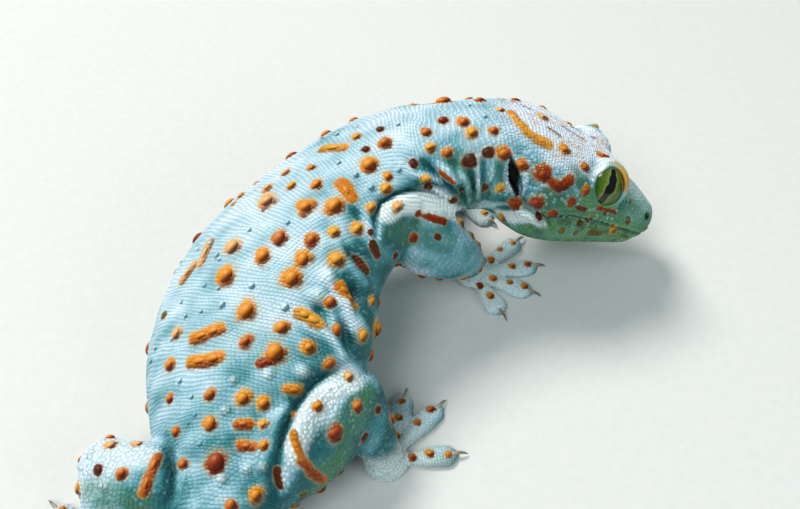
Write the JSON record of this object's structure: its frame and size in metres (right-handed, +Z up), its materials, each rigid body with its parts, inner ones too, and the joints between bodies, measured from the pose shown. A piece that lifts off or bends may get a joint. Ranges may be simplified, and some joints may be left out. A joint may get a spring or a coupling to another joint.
{
  "type": "tokay gecko",
  "caption": "Life-size tokay gecko resting on the floor, body bent to its right, chest raised, head lowered, toes spread, tail curved behind.",
  "frame": {"origin": "on the floor, under the middle of the whole animal's bounding box", "axes": "+Z up from the floor; the head points along +X; the hips face along +Y and the tail runs back towards -Y and -X"},
  "size_m": [0.1905, 0.1844, 0.046],
  "materials": {
    "skin_back": "granular blue-grey skin with orange spots",
    "skin_head": "fine granular pale blue-grey skin with rust spots",
    "skin_leg": "granular pale skin with orange spots",
    "skin_jaw": "smooth greenish scales",
    "eye": "wet, clear, glossy"
  },
  "bodies": {
    "root": {"eye_left": "eye", "eye_right": "eye", "forearm_left": "skin_leg", "forearm_right": "skin_leg", "forefoot_left": "skin_leg", "forefoot_right": "skin_leg", "head": "skin_head", "hindfoot_left": "skin_leg", "hindfoot_right": "skin_leg", "lower_jaw": "skin_jaw", "neck": "skin_back", "pelvis": "skin_back", "shank_left": "skin_leg", "shank_right": "skin_leg", "shoulders": "skin_back", "tail_base": "skin_back", "tail_middle": "skin_back", "tail_tip": "skin_back", "thigh_left": "skin_leg", "thigh_right": "skin_leg", "trunk": "skin_back", "upper_arm_left": "skin_leg", "upper_arm_right": "skin_leg"}
  },
  "joints": []
}
